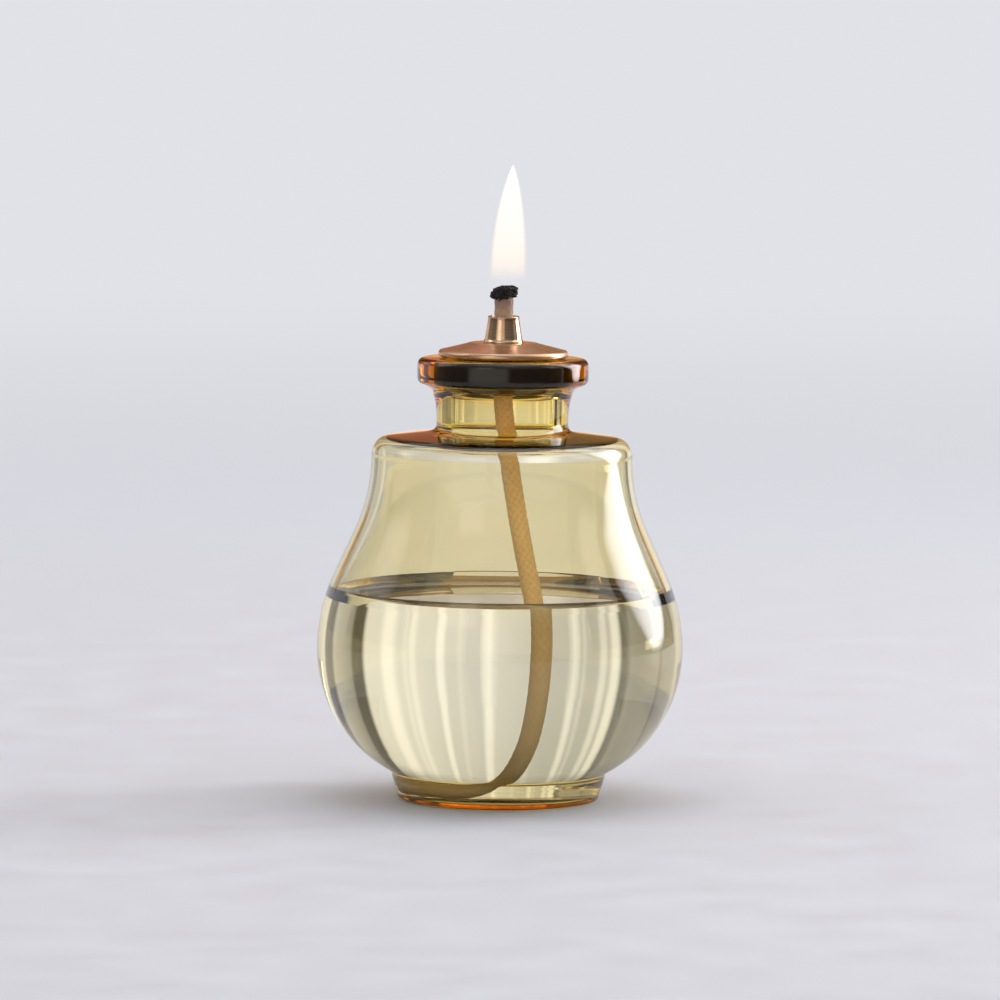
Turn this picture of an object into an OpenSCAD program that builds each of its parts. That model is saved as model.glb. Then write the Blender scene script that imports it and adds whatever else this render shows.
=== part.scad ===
// Small glass oil lamp: a blown bottle with a round foot, a brass burner in a
// black seal, a braided wick that hangs in the oil, and its flame.
// Millimetres, +Z up, origin at the centre of the foot's underside.

/* [Bottle body] */
// Radius of the body at its widest ring
belly_r = 36.4; // [36:0.1:37.5]
// Height of the widest ring
belly_z = 30; // [29:0.5:31]
// Radius of the round lower half of the body, in section
bulge_r = 27.3; // [26.5:0.1:27.6]
// Radius of the round upper half of the body, in section
upper_r = 36; // [35:0.5:36]
// Angle above the widest ring where the straight cone starts
upper_angle = 24.6; // [24:0.1:25]
// Length of the straight cone above the round part
cone_len = 9.9; // [9:0.1:10]
// Radius of the upright wall under the shoulder
shoulder_r = 25.9; // [25.5:0.1:26.2]
// Height of the shoulder's rounded edge
shoulder_z = 72.5; // [72.5:0.5:73]
// Radius of the shoulder's rounded edge
shoulder_round = 3.5; // [3:0.1:3.6]
// Thickness of the body's wall
wall = 1.3; // [1.1:0.1:1.6]

/* [Bottle foot] */
// Radius of the foot's wall under the body
foot_r = 21.2; // [20.5:0.1:21.5]
// Radius of the foot where it stands
foot_base_r = 20.1; // [19.5:0.1:20.5]
// Thickness of the foot's wall
foot_wall = 2.3; // [2:0.1:2.5]
// Thickness of the floor
floor_t = 1.5; // [1.2:0.1:1.6]

/* [Bottle neck and lip] */
// Radius of the neck
neck_r = 13.1; // [12.8:0.1:13.4]
// Radius of the hole down the neck
neck_bore_r = 10.3; // [10:0.1:10.5]
// Radius of the mouth that the seal sits in
mouth_r = 9.1; // [8.8:0.1:9.4]
// Radius of the lip
lip_r = 17; // [16:0.1:17.5]
// Height of the lip's edge
lip_h = 5.6; // [5:0.1:5.8]
// Height of the whole bottle
bottle_h = 88.1; // [88:0.1:89]

/* [Oil] */
// Height of the oil's flat surface
oil_z = 40; // [38:0.5:42]
// Height that the oil climbs up the glass
meniscus_h = 2.4; // [1.5:0.1:2.6]

/* [Stopper seal] */
// Gap between the seal and the mouth, all round
seal_gap = 0.05; // [0.02:0.01:0.09]
// Height that the seal stands above the lip
seal_proud = 0.2; // [0.1:0.05:0.3]
// Length of the seal inside the mouth
seal_len = 5.2; // [5:0.1:5.4]
// Radius of the hollow in the seal's underside
hollow_r = 6.8; // [6.6:0.1:7]
// Depth of the hollow in the seal's underside
hollow_h = 2.9; // [2.7:0.1:3]

/* [Brass burner] */
// Radius of the cap plate
plate_r = 12.9; // [12.5:0.1:13.2]
// Height of the cap plate's upright rim
rim_h = 1.3; // [1.1:0.1:1.5]
// Height of the cap plate's shallow cone
cone_h = 1.6; // [1.2:0.1:2]
// Radius of the flat on top of the cap plate
flat_r = 6.6; // [6:0.1:7]
// Radius of the nozzle at its foot
nozzle_base_r = 4; // [3.8:0.1:4.4]
// Radius of the nozzle at its top
nozzle_top_r = 3.1; // [3:0.1:3.4]
// Height of the nozzle above the cap plate
nozzle_h = 5.3; // [5:0.1:5.8]
// Outer radius of the wick tube
tube_r = 2.5; // [2.4:0.05:2.6]
// Inner radius of the wick tube
tube_bore_r = 2.15; // [2.1:0.01:2.2]
// Radius of the clamp washer
washer_r = 6.2; // [5.8:0.1:6.3]
// Thickness of the clamp washer
washer_t = 0.6; // [0.5:0.1:0.7]
// Width of the lock nut across its flats
nut_flats = 8; // [7:0.5:9]
// Thickness of the lock nut
nut_t = 1.6; // [1.4:0.1:1.8]

/* [Wick and flame] */
// Diameter of the braided wick
wick_d = 3.8; // [3.6:0.05:3.85]
// Length of clean wick above the nozzle
wick_show = 3.1; // [3.05:0.05:3.5]
// Largest radius of the charred end
char_r = 2.7; // [2.4:0.1:2.8]
// Height of the charred end
char_h = 2.8; // [2.4:0.1:3]
// Height of the flame
flame_h = 24; // [20:0.5:28]
// Largest radius of the flame
flame_r = 3.9; // [3:0.1:4.2]
// Lean of the flame towards +X
flame_lean = 2.5; // [0:0.5:4]

/* [Hidden] */
$fn = 96;

arc_steps = 10;
edge_steps = 5;
touch = 0.02;            // gap between pieces that are fixed together
wick_gap = 0.3;          // room round the wick where it passes through the oil
crease_round = 1.2;      // hollow between the foot and the body, outside
inner_crease_round = 3.2;
foot_edge_round = 1;
floor_round = 2.4;
neck_root_round = 1.4;
neck_rise = 1;           // how far the shoulder climbs from its edge to the neck
neck_flare_r = 14;       // hollow of the neck under the lip
neck_flare_angle = 23;
neck_straight = 1.6;
lip_under_round = 1.1;
lip_top_round = 1.3;
lip_under_rise = 0.4;
mouth_edge = 0.5;
ceiling_round = 1.8;
ceiling_rise = 0.7;
throat_h = 1.6;          // height of the slope from the mouth to the neck's hole
throat_z = bottle_h - seal_len - 0.1;
oil_gap = 0.04;          // keeps the oil's solid clear of the glass
meniscus_end = -20;      // angle where the oil's climbing edge is cut off

seal_top = bottle_h + seal_proud;
seal_bottom = bottle_h - seal_len;
hollow_z = seal_bottom + hollow_h;
flat_z = seal_top + rim_h + cone_h;
nozzle_z = flat_z + nozzle_h;
tube_bottom = seal_bottom + 0.2;
tube_inset = 0.4;        // depth of the tube's end inside the nozzle
wick_top = nozzle_z + wick_show;
char_top = wick_top + char_h;
edge = 0.3;              // small rounding on turned brass

// The wick's route, from its end above the nozzle down the tube and the neck,
// forward through the oil and round the floor of the foot
wick_route = [
    [0, 0, wick_top], [0, 0, nozzle_z], [0, 0, 90], [0, 0, 84],
    [0.2, -0.3, 79.5], [0.7, -1.4, 74], [1.6, -3.8, 67], [2.8, -7, 59.5],
    [4.4, -11.2, 51], [5.8, -15, 44.5], [6.8, -18, 39.5], [7.2, -21, 33],
    [7, -23, 27], [6.4, -23.8, 21.5], [5.4, -23, 16.5], [3.8, -20.8, 12.4],
    [1.8, -18, 9.2], [-0.8, -16, 6.6], [-4, -14.8, 4.8], [-7.6, -13.2, 4],
    [-10.8, -10.8, 4], [-13.2, -7.6, 4], [-14.6, -3.8, 4], [-14.8, 0, 4]];

// Points along an arc in section: centre, radius, first and last angle
function arc(c, r, from, to, steps = arc_steps) =
    [for (i = [0:steps]) let (a = from + (to - from) * i / steps)
        [c[0] + r * cos(a), c[1] + r * sin(a)]];

// Centre of a hollow rounding between an upright wall and the round body
function crease_centre(wall_r, round_r, body_c, body_r) =
    let (x = wall_r + round_r, reach = body_r + round_r)
        [x, body_c[1] - sqrt(pow(reach, 2) - pow(x - body_c[0], 2))];

// The body's wall from the foot to the shoulder's edge, moved inwards by inset
function body_wall(inset, wall_r, round_r) =
    let (low_c = [belly_r - bulge_r, belly_z],
         high_c = [belly_r - upper_r, belly_z],
         low_r = bulge_r - inset,
         high_r = upper_r - inset,
         crease = crease_centre(wall_r, round_r, low_c, low_r),
         crease_a = atan2(crease[1] - low_c[1], crease[0] - low_c[0]),
         cone_start = high_c + high_r * [cos(upper_angle), sin(upper_angle)],
         cone_end = cone_start + cone_len * [-sin(upper_angle), cos(upper_angle)],
         waist_r = (cone_end[0] - shoulder_r + inset) / (1 - cos(upper_angle)),
         waist_c = [shoulder_r - inset + waist_r, cone_end[1] + waist_r * sin(upper_angle)])
    concat(
        arc(crease, round_r, 180, 180 + crease_a, edge_steps),
        arc(low_c, low_r, crease_a, 0),
        arc(high_c, high_r, upper_angle / arc_steps, upper_angle, arc_steps - 1),
        arc(waist_c, waist_r, 180 + upper_angle, 180));

// Outside of the bottle, from the middle of its underside to the mouth's edge
function outer_profile() = concat(
    [[0, 0]],
    arc([foot_base_r - foot_edge_round, foot_edge_round], foot_edge_round, -90, 0, edge_steps),
    body_wall(0, foot_r, crease_round),
    arc([shoulder_r - shoulder_round, shoulder_z - shoulder_round], shoulder_round, 0, 84,
        edge_steps),
    arc([neck_r + neck_root_round, shoulder_z + neck_rise + neck_root_round],
        neck_root_round, 263, 180, edge_steps),
    arc([neck_r + neck_flare_r, shoulder_z + neck_rise + neck_root_round + neck_straight],
        neck_flare_r, 180, 180 - neck_flare_angle, edge_steps),
    arc([lip_r - lip_under_round, bottle_h - lip_h + lip_under_rise + lip_under_round],
        lip_under_round, -90, 0, edge_steps),
    arc([lip_r - lip_top_round, bottle_h - lip_top_round], lip_top_round, 0, 90, edge_steps),
    arc([mouth_r + mouth_edge, bottle_h - mouth_edge], mouth_edge, 90, 180, edge_steps));

// Inside of the body up to the neck, from the middle of the floor
function cavity_profile(gap) =
    let (inset = wall + gap, foot_in = foot_r - foot_wall - gap)
    concat(
        [[0, floor_t + gap]],
        arc([foot_in - floor_round, floor_t + gap + floor_round], floor_round, -90, 0,
            edge_steps),
        body_wall(inset, foot_in, inner_crease_round));

// Inside of the shoulder, neck and mouth, upwards
function throat_profile() = concat(
    arc([shoulder_r - shoulder_round, shoulder_z - shoulder_round], shoulder_round - wall,
        0, 86, edge_steps),
    arc([neck_bore_r + ceiling_round, shoulder_z - wall + ceiling_rise + ceiling_round],
        ceiling_round, -90, -180, edge_steps),
    [[neck_bore_r, throat_z - throat_h], [mouth_r, throat_z]]);

function reversed(points) = [for (i = [len(points) - 1:-1:0]) points[i]];

// Where the oil's climbing edge meets the glass
climb_z = oil_z + meniscus_h * (1 + sin(meniscus_end));
climb_wall_r = upper_r - wall - oil_gap;
climb_r = belly_r - upper_r + climb_wall_r * cos(asin((climb_z - belly_z) / climb_wall_r));

// A ring of points round p, square to the direction dir
function ring(p, dir, r, sides) =
    let (d = dir / norm(dir),
         side = [1, 0, 0],
         u = (side - (side * d) * d) / norm(side - (side * d) * d),
         v = cross(d, u))
    [for (i = [0:sides - 1]) let (a = 360 * i / sides)
        p + r * cos(a) * u + r * sin(a) * v];

function heading(path, i) = path[min(i + 1, len(path) - 1)] - path[max(i - 1, 0)];

// A round tube along a path, as one closed solid
module swept_tube(path, r, sides = 8) {
    rings = [for (i = [0:len(path) - 1]) ring(path[i], heading(path, i), r, sides)];
    points = [for (one = rings) for (p = one) p];
    last = (len(path) - 1) * sides;
    walls = [for (k = [0:len(path) - 2]) for (i = [0:sides - 1])
        let (a = k * sides + i, b = k * sides + (i + 1) % sides)
            each [[a, b + sides, b], [a, a + sides, b + sides]]];
    caps = [[for (i = [0:sides - 1]) i], [for (i = [sides - 1:-1:0]) last + i]];
    polyhedron(points, concat(walls, caps));
}

module turned(profile) {
    rotate_extrude() polygon(profile);
}

module bottle() {
    color([0.85, 0.8, 0.5, 0.4])
        turned(concat(outer_profile(), reversed(throat_profile()), reversed(cavity_profile(0))));
}

module oil() {
    below = [for (p = cavity_profile(oil_gap)) if (p[1] < climb_z) p];
    climb_c = [climb_r - meniscus_h * cos(meniscus_end), oil_z + meniscus_h];
    climb = arc(climb_c, meniscus_h, meniscus_end, -90, edge_steps);
    color([0.9, 0.88, 0.7, 0.5])
        difference() {
            turned(concat(below, climb, [[0, oil_z]]));
            swept_tube(wick_route, wick_d / 2 + wick_gap);
        }
}

module stopper_seal() {
    hole_r = tube_r + seal_gap;
    color([0.04, 0.04, 0.05])
        turned([[hole_r, hollow_z], [hollow_r, hollow_z], [hollow_r, seal_bottom],
            [mouth_r - seal_gap - edge, seal_bottom], [mouth_r - seal_gap, seal_bottom + edge],
            [mouth_r - seal_gap, seal_top - edge], [mouth_r - seal_gap - edge, seal_top],
            [hole_r, seal_top]]);
}

module cap_plate() {
    rim_z = seal_top + rim_h;
    color([0.72, 0.5, 0.33])
        turned(concat(
            [[tube_r + touch, seal_top], [plate_r - edge, seal_top], [plate_r, seal_top + edge]],
            arc([plate_r - edge, rim_z - edge], edge, 0, 80, edge_steps),
            [[flat_r, flat_z], [tube_r + touch, flat_z]]));
}

module nozzle() {
    color([0.8, 0.55, 0.38])
        turned(concat(
            [[tube_r + touch, flat_z], [nozzle_base_r, flat_z]],
            arc([nozzle_top_r - edge, nozzle_z - edge], edge, 0, 90, edge_steps),
            [[tube_r + touch, nozzle_z]]));
}

module wick_tube() {
    color([0.7, 0.52, 0.3])
        turned([[tube_bore_r, tube_bottom], [tube_r, tube_bottom],
            [tube_r, nozzle_z - tube_inset], [tube_bore_r, nozzle_z - tube_inset]]);
}

module clamp_washer() {
    color([0.75, 0.6, 0.35])
        translate([0, 0, hollow_z - washer_t])
            difference() {
                cylinder(h = washer_t, r = washer_r);
                translate([0, 0, -washer_t]) cylinder(h = 3 * washer_t, r = tube_r + touch);
            }
}

module lock_nut() {
    color([0.78, 0.62, 0.38])
        translate([0, 0, hollow_z - washer_t - nut_t])
            difference() {
                cylinder(h = nut_t, r = nut_flats / 2 / cos(30), $fn = 6);
                translate([0, 0, -nut_t]) cylinder(h = 3 * nut_t, r = tube_r + touch);
            }
}

module wick() {
    color([0.82, 0.68, 0.46]) swept_tube(wick_route, wick_d / 2);
}

module wick_tip() {
    color([0.07, 0.06, 0.06])
        turned(concat(
            [[0, wick_top], [wick_d / 2, wick_top]],
            arc([char_r - char_h / 2, wick_top + char_h / 2], char_h / 2, -40, 75, edge_steps),
            [[0, char_top - edge]]));
}

// Nearly straight sides that close to a blunt tip, on a rounded foot
module flame() {
    steps = 16;
    foot = 0.12;         // share of the height where the rounded foot ends
    taper = 0.38;
    shape = [for (i = [0:steps - 1]) let (t = i / steps, low = max(1 - t / foot, 0))
        [flame_r * pow(1 - t, taper) * sqrt(1 - 0.7 * pow(low, 2)), t * flame_h]];
    color([1, 0.85, 0.5, 0.8])
        translate([0, 0, char_top + touch])
            rotate([0, flame_lean, 0])
                turned(concat([[0, 0]], shape, [[0, flame_h]]));
}

bottle();
oil();
stopper_seal();
cap_plate();
nozzle();
wick_tube();
clamp_washer();
lock_nut();
wick();
wick_tip();
flame();
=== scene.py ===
import math
import random

import bmesh
import bpy
import numpy as np
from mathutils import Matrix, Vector, noise
from mathutils.kdtree import KDTree


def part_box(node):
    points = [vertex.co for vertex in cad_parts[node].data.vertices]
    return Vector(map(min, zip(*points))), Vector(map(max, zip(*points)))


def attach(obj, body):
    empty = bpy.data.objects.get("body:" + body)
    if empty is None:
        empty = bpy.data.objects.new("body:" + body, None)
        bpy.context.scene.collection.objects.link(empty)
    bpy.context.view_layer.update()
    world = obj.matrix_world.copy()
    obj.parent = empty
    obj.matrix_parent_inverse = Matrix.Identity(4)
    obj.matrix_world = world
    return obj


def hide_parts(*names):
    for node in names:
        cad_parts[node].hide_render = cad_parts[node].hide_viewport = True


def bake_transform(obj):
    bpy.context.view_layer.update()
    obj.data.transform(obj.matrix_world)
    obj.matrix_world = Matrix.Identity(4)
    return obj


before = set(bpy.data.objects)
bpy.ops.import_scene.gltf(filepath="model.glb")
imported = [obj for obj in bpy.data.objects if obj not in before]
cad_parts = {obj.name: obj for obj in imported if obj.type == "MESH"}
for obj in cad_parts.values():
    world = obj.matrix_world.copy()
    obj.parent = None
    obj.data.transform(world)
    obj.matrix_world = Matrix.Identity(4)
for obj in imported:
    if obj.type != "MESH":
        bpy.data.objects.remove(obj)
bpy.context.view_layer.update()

MM = 0.001
SCENE = bpy.context.scene
TAU = 2 * math.pi

# ---------------------------------------------------------------- the frame's own sizes

SEAL_LOW, SEAL_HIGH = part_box("stopper_seal")
PLATE_LOW, PLATE_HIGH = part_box("cap_plate")
NOZZLE_LOW, NOZZLE_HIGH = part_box("nozzle")
TUBE_LOW, TUBE_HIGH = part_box("wick_tube")
WASHER_LOW, WASHER_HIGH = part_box("clamp_washer")
NUT_LOW, NUT_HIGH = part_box("lock_nut")
TIP_LOW, TIP_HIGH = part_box("wick_tip")
FLAME_LOW, FLAME_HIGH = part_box("flame")

WICK_RADIUS = 1.9 * MM
# The wick's route, as the part's source gives it, from its end above the nozzle
# down the tube and the neck, through the oil and round the floor of the foot
WICK_ROUTE = [Vector(point) * MM for point in [
    (0, 0, 99.6), (0, 0, 96.5), (0, 0, 90), (0, 0, 84),
    (0.2, -0.3, 79.5), (0.7, -1.4, 74), (1.6, -3.8, 67), (2.8, -7, 59.5),
    (4.4, -11.2, 51), (5.8, -15, 44.5), (6.8, -18, 39.5), (7.2, -21, 33),
    (7, -23, 27), (6.4, -23.8, 21.5), (5.4, -23, 16.5), (3.8, -20.8, 12.4),
    (1.8, -18, 9.2), (-0.8, -16, 6.6), (-4, -14.8, 4.8), (-7.6, -13.2, 4),
    (-10.8, -10.8, 4), (-13.2, -7.6, 4), (-14.6, -3.8, 4), (-14.8, 0, 4)]]

# ---------------------------------------------------------------- camera

CAMERA_DISTANCE = 1.536
CAMERA_HEIGHT = 0.195
CAMERA_AIM = Vector((-0.0003, 0, 0.0598))
CAMERA_LENS = 279.3
CAMERA_ROLL = math.radians(0.7)


def add_camera():
    """The camera, low in front of the lamp, with a long lens."""
    data = bpy.data.cameras.new("camera")
    data.lens = CAMERA_LENS
    data.sensor_width = 36
    data.clip_end = 100
    camera = bpy.data.objects.new("camera", data)
    SCENE.collection.objects.link(camera)
    camera.location = (0, -CAMERA_DISTANCE, CAMERA_HEIGHT)
    aim = CAMERA_AIM - camera.location
    camera.rotation_euler = aim.to_track_quat("-Z", "Y").to_euler()
    camera.rotation_euler.rotate_axis("Z", CAMERA_ROLL)
    SCENE.camera = camera


# ---------------------------------------------------------------- mesh helpers


def mesh_piece(name, points, faces, material, sharp=40):
    """A smooth-shaded object with its own mesh, its edges sharp where they turn more than that."""
    mesh = bpy.data.meshes.new(name)
    mesh.from_pydata([tuple(p) for p in points], [], faces)
    mesh.materials.append(material)
    shape = bmesh.new()
    shape.from_mesh(mesh)
    bmesh.ops.recalc_face_normals(shape, faces=shape.faces)
    shape.to_mesh(mesh)
    shape.free()
    mesh.polygons.foreach_set("use_smooth", [True] * len(mesh.polygons))
    mesh.set_sharp_from_angle(angle=math.radians(sharp))
    piece = bpy.data.objects.new(name, mesh)
    SCENE.collection.objects.link(piece)
    return piece


def settle(piece, body, slot, *nodes):
    """The piece rides on a body and stands for the CAD nodes it is named with; slot, the name of its
    finish, is not used.
    """
    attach(piece, body)
    if nodes:
        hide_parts(*nodes)
    return piece


def catmull_rom(a, b, c, d, share):
    """A point between b and c on a centripetal Catmull-Rom curve through four points."""
    knots = [0.0]
    for p, q in ((a, b), (b, c), (c, d)):
        knots.append(knots[-1] + max((q - p).length, 1e-9) ** 0.5)
    t = knots[1] + share * (knots[2] - knots[1])

    def between(p, q, low, high):
        return p.lerp(q, (t - low) / (high - low))

    ab = between(a, b, knots[0], knots[1])
    bc = between(b, c, knots[1], knots[2])
    cd = between(c, d, knots[2], knots[3])
    abc = between(ab, bc, knots[0], knots[2])
    bcd = between(bc, cd, knots[1], knots[3])
    return between(abc, bcd, knots[1], knots[2])


def smooth_run(points, step):
    """A curve through a run of points, with a point about every step."""
    if len(points) < 3:
        ends = [2 * points[0] - points[-1], *points, 2 * points[-1] - points[0]]
    else:
        ends = [2 * points[0] - points[1], *points, 2 * points[-1] - points[-2]]
    curve = []
    for k in range(len(points) - 1):
        count = max(1, math.ceil((points[k + 1] - points[k]).length / step))
        for i in range(count):
            curve.append(catmull_rom(*ends[k:k + 4], i / count))
    return [*curve, points[-1]]


KEPT_TURN = math.radians(9)
CALMED_TURN = math.radians(5)


def calmed(curve, reach=6, passes=40):
    """The curve without the ripple that its facets leave, wherever it turns only gently."""
    calm = []
    for k, here in enumerate(curve):
        turn = KEPT_TURN
        if reach <= k < len(curve) - reach:
            turn = (here - curve[k - reach]).angle(curve[k + reach] - here)
        calm.append(min(max((KEPT_TURN - turn) / (KEPT_TURN - CALMED_TURN), 0), 1))
    for _ in range(passes):
        moved = list(curve)
        for k in range(1, len(curve) - 1):
            moved[k] = curve[k].lerp((curve[k - 1] + curve[k + 1]) / 2, 0.5 * calm[k])
        curve = moved
    return curve


def smooth_outline(points, step=0.35 * MM, corner=32):
    """A curve through an outline's points that keeps every corner sharper than that angle."""
    points = [Vector(p) for p in points]
    runs, run = [], [points[0]]
    for before, here, after in zip(points, points[1:], points[2:]):
        run.append(here)
        if (here - before).angle(after - here) > math.radians(corner):
            runs.append(run)
            run = [here]
    runs.append([*run, points[-1]])
    curve = []
    for run in runs:
        curve += calmed(smooth_run(run, step))[:-1]
    return [*curve, points[-1]]


SAME_RING = 8e-6


def cad_outline(node):
    """A turned CAD node's section: (radius, height) points from its low end round to its last."""
    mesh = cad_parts[node].data
    sections = [Vector((math.hypot(v.co.x, v.co.y), 0, v.co.z)) for v in mesh.vertices]
    tree = KDTree(len(sections))
    for index, section in enumerate(sections):
        tree.insert(section, index)
    tree.balance()
    ring_of = [-1] * len(sections)
    rings = []
    for index, section in enumerate(sections):
        if ring_of[index] < 0:
            for _, near, _ in tree.find_range(section, SAME_RING):
                ring_of[near] = len(rings)
            rings.append(Vector((section.x, section.z)))
    beside = {k: set() for k in range(len(rings))}
    for edge in mesh.edges:
        a, b = (ring_of[v] for v in edge.vertices)
        if a != b:
            beside[a].add(b)
            beside[b].add(a)
    ends = [k for k in beside if len(beside[k]) == 1] or list(beside)
    here = min(ends, key=lambda k: (rings[k].y, -rings[k].x))
    order, seen = [here], {here}
    while True:
        onward = [k for k in beside[here] if k not in seen]
        if not onward:
            break
        here = min(onward, key=lambda k: (rings[k] - rings[here]).length)
        order.append(here)
        seen.add(here)
    return [rings[k] for k in order]


ON_AXIS = 1e-6


def lathe(outline, segments=160, closed=False, shape=None):
    """Points and faces of an outline turned about Z. shape takes a radius, an angle and a height
    and gives the radius and height to use."""
    points, rings, faces = [], [], []
    for radius, height in outline:
        if radius < ON_AXIS:
            rings.append([len(points)])
            points.append(Vector((0, 0, height)))
            continue
        ring = []
        for k in range(segments):
            angle = TAU * k / segments
            r, z = shape(radius, angle, height) if shape else (radius, height)
            ring.append(len(points))
            points.append(Vector((r * math.cos(angle), r * math.sin(angle), z)))
        rings.append(ring)
    pairs = list(zip(rings, rings[1:]))
    if closed:
        pairs.append((rings[-1], rings[0]))
    for low, high in pairs:
        for k in range(segments):
            n = (k + 1) % segments
            if len(low) == 1 and len(high) == 1:
                continue
            if len(low) == 1:
                faces.append((low[0], high[n], high[k]))
            elif len(high) == 1:
                faces.append((low[k], low[n], high[0]))
            else:
                faces.append((low[k], low[n], high[n], high[k]))
    return points, faces


def sweep(path, around, radius_at):
    """Points and faces of a closed tube along a path. radius_at takes the distance along and
    the angle."""
    points, faces = [], []
    side = Vector((1, 0, 0))
    along = 0.0
    for k, centre in enumerate(path):
        heading = path[min(k + 1, len(path) - 1)] - path[max(k - 1, 0)]
        heading.normalize()
        side = (side - side.dot(heading) * heading).normalized()
        other = heading.cross(side)
        if k:
            along += (centre - path[k - 1]).length
        for j in range(around):
            angle = TAU * j / around
            r = radius_at(along, angle)
            points.append(centre + r * (math.cos(angle) * side + math.sin(angle) * other))
    for k in range(len(path) - 1):
        for j in range(around):
            n = (j + 1) % around
            low, high = k * around, (k + 1) * around
            faces.append((low + j, low + n, high + n, high + j))
    for ring, centre in ((0, path[0]), ((len(path) - 1) * around, path[-1])):
        middle = len(points)
        points.append(centre.copy())
        faces += [(ring + j, ring + (j + 1) % around, middle) for j in range(around)]
    return points, faces


# ---------------------------------------------------------------- material helpers


class Finish:
    """A material with one Principled shader, and short ways to add its nodes."""

    def __init__(self, name):
        self.material = bpy.data.materials.new(name)
        self.material.use_nodes = True
        self.tree = self.material.node_tree
        self.tree.nodes.clear()
        self.output = self.tree.nodes.new("ShaderNodeOutputMaterial")
        self.shader = self.tree.nodes.new("ShaderNodeBsdfPrincipled")
        self.link(self.shader.outputs["BSDF"], self.output.inputs["Surface"])
        self.place = self.tree.nodes.new("ShaderNodeTexCoord").outputs["Object"]

    def link(self, source, target):
        self.tree.links.new(source, target)

    def set(self, **values):
        for name, value in values.items():
            self.shader.inputs[name.replace("_", " ")].default_value = value

    def noise(self, scale, detail=3.0, stretch=(1, 1, 1), dimensions="3D"):
        """Noise with that many features a metre, stretched along each axis."""
        mapping = self.tree.nodes.new("ShaderNodeMapping")
        mapping.inputs["Scale"].default_value = stretch
        self.link(self.place, mapping.inputs["Vector"])
        texture = self.tree.nodes.new("ShaderNodeTexNoise")
        texture.noise_dimensions = dimensions
        texture.inputs["Scale"].default_value = scale
        texture.inputs["Detail"].default_value = detail
        self.link(mapping.outputs["Vector"], texture.inputs["Vector"])
        return texture.outputs["Fac"]

    def rings(self, scale, detail=2.0):
        """Noise that changes only with the distance from the axis and the height, as turning marks do."""
        split = self.tree.nodes.new("ShaderNodeSeparateXYZ")
        self.link(self.place, split.inputs[0])
        flat = self.tree.nodes.new("ShaderNodeCombineXYZ")
        self.link(split.outputs["X"], flat.inputs["X"])
        self.link(split.outputs["Y"], flat.inputs["Y"])
        length = self.tree.nodes.new("ShaderNodeVectorMath")
        length.operation = "LENGTH"
        self.link(flat.outputs[0], length.inputs[0])
        total = self.maths("ADD", length.outputs["Value"], split.outputs["Z"])
        texture = self.tree.nodes.new("ShaderNodeTexNoise")
        texture.noise_dimensions = "1D"
        texture.inputs["Scale"].default_value = scale
        texture.inputs["Detail"].default_value = detail
        self.link(total, texture.inputs["W"])
        return texture.outputs["Fac"]

    def maths(self, operation, a, b):
        node = self.tree.nodes.new("ShaderNodeMath")
        node.operation = operation
        for socket, value in zip(node.inputs, (a, b)):
            if isinstance(value, (int, float)):
                socket.default_value = value
            else:
                self.link(value, socket)
        return node.outputs[0]

    def height(self, start, end):
        """A share that grows from 0 to 1 between two heights."""
        split = self.tree.nodes.new("ShaderNodeSeparateXYZ")
        self.link(self.place, split.inputs[0])
        return self.spread(split.outputs["Z"], 0, 1, start, end, smooth=True)

    def attribute(self, name):
        node = self.tree.nodes.new("ShaderNodeAttribute")
        node.attribute_name = name
        return node.outputs["Fac"]

    def spread(self, value, low, high, start=0.3, end=0.7, smooth=False):
        """value between start and end, brought to between low and high."""
        node = self.tree.nodes.new("ShaderNodeMapRange")
        node.interpolation_type = "SMOOTHSTEP" if smooth else "LINEAR"
        node.inputs["From Min"].default_value = start
        node.inputs["From Max"].default_value = end
        node.inputs["To Min"].default_value = low
        node.inputs["To Max"].default_value = high
        self.link(value, node.inputs["Value"])
        return node.outputs["Result"]

    def mix(self, share, a, b):
        """A colour that goes from a to b with the share."""
        node = self.tree.nodes.new("ShaderNodeMix")
        node.data_type = "RGBA"
        self.link(share, node.inputs["Factor"])
        for socket, colour in ((node.inputs["A"], a), (node.inputs["B"], b)):
            if isinstance(colour, tuple):
                socket.default_value = (*colour, 1)
            else:
                self.link(colour, socket)
        return node.outputs["Result"]

    def colour(self, source):
        self.link(source, self.shader.inputs["Base Color"])

    def roughness(self, source):
        self.link(source, self.shader.inputs["Roughness"])

    def bump(self, source, depth, strength=1.0):
        """Relief that is depth metres deep, laid on any that is there already."""
        node = self.tree.nodes.new("ShaderNodeBump")
        node.inputs["Distance"].default_value = depth
        node.inputs["Strength"].default_value = strength
        self.link(source, node.inputs["Height"])
        target = self.shader.inputs["Normal"]
        if target.links:
            self.link(target.links[0].from_socket, node.inputs["Normal"])
        self.link(node.outputs["Normal"], target)

    def absorb(self, colour, density):
        """What the inside of the solid takes from the light that crosses it."""
        volume = self.tree.nodes.new("ShaderNodeVolumeAbsorption")
        volume.inputs["Color"].default_value = (*colour, 1)
        volume.inputs["Density"].default_value = density
        self.link(volume.outputs["Volume"], self.output.inputs["Volume"])


# ---------------------------------------------------------------- materials


def amber_glass():
    """Blown glass, tinted yellow through its thickness, with a faintly uneven surface."""
    finish = Finish("amber_glass")
    finish.set(Base_Color=(1, 1, 1, 1), Transmission_Weight=1, IOR=1.5)
    finish.roughness(finish.spread(finish.noise(90, 4), 0, 0.008, 0.45, 0.75))
    finish.bump(finish.noise(55, 1.5, (1, 1, 0.35)), 0.02 * MM, 0.5)
    finish.absorb((0.99, 0.84, 0.13), 300)
    return finish.material


OIL_INDEX = 1.45


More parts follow.
